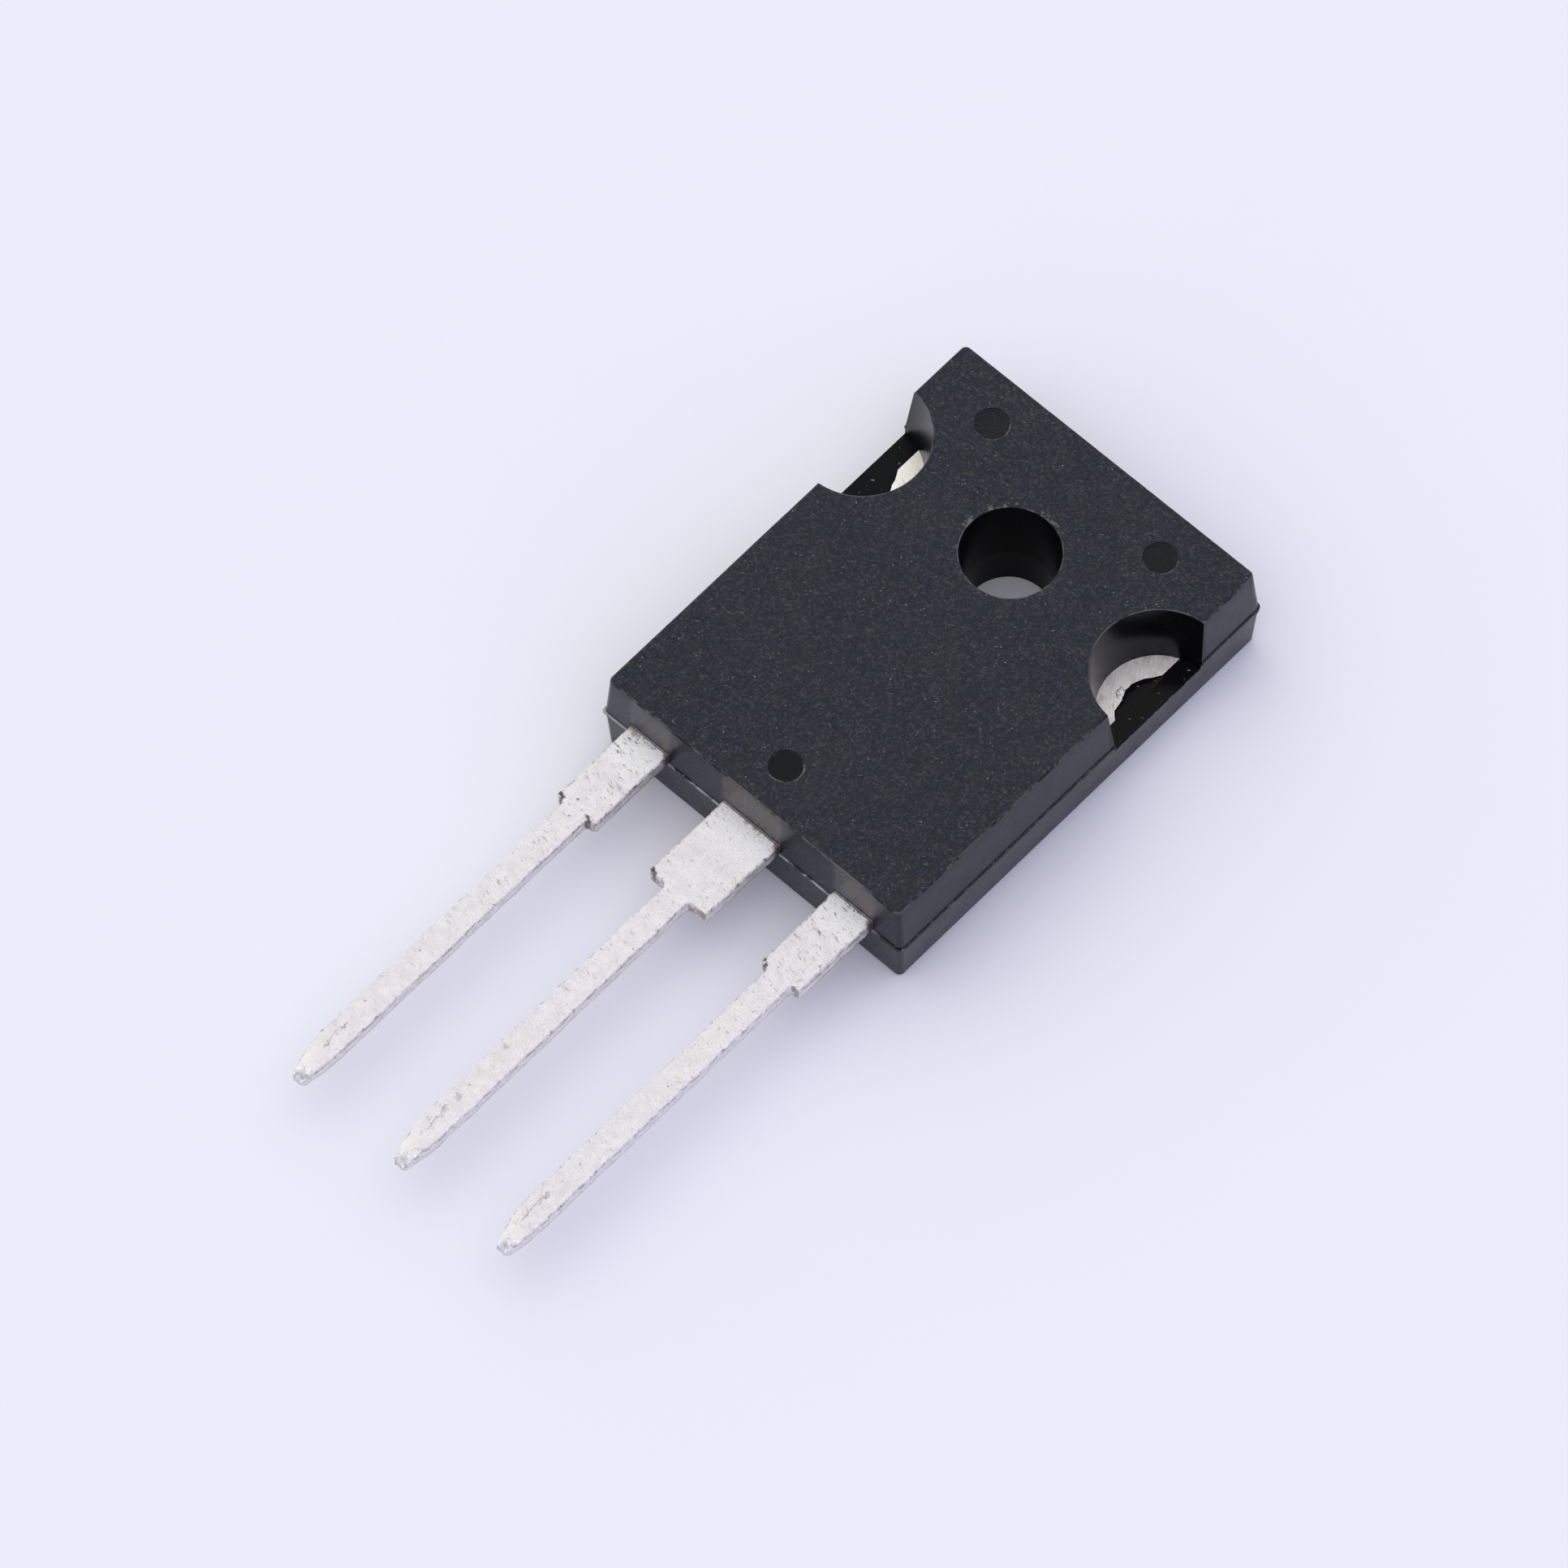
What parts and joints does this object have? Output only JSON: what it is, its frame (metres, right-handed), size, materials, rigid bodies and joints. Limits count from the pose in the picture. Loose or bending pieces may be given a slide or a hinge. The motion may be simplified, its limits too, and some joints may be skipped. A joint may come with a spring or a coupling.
{
  "type": "igbt transistor",
  "caption": "Insulated-gate bipolar transistor in a flat moulded through-hole power package: heat-sink tab, mounting hole, side notches, straight tinned leads.",
  "frame": {"origin": "centre of the mounting hole in the plane of the back face", "axes": "+Z along the mounting hole, out of the marked top face; -Y the way the leads point; +X towards the emitter lead"},
  "size_m": [0.016, 0.0414, 0.0051],
  "materials": {
    "epoxy": "matt black silica-filled epoxy with a fine spark-eroded grain",
    "tinned_copper": "matt tin plating on stamped copper",
    "silicon": "metallised silicon",
    "solder": "dull soft solder",
    "bond_aluminium": "drawn aluminium wire"
  },
  "bodies": {
    "root": {"mould_body": "epoxy", "collector_leadframe": "tinned_copper", "gate_lead": "tinned_copper", "emitter_lead": "tinned_copper", "igbt_die": "silicon", "die_attach_solder": "solder", "gate_bond_wire": "bond_aluminium", "emitter_bond_wire_1": "bond_aluminium", "emitter_bond_wire_2": "bond_aluminium"}
  },
  "joints": []
}
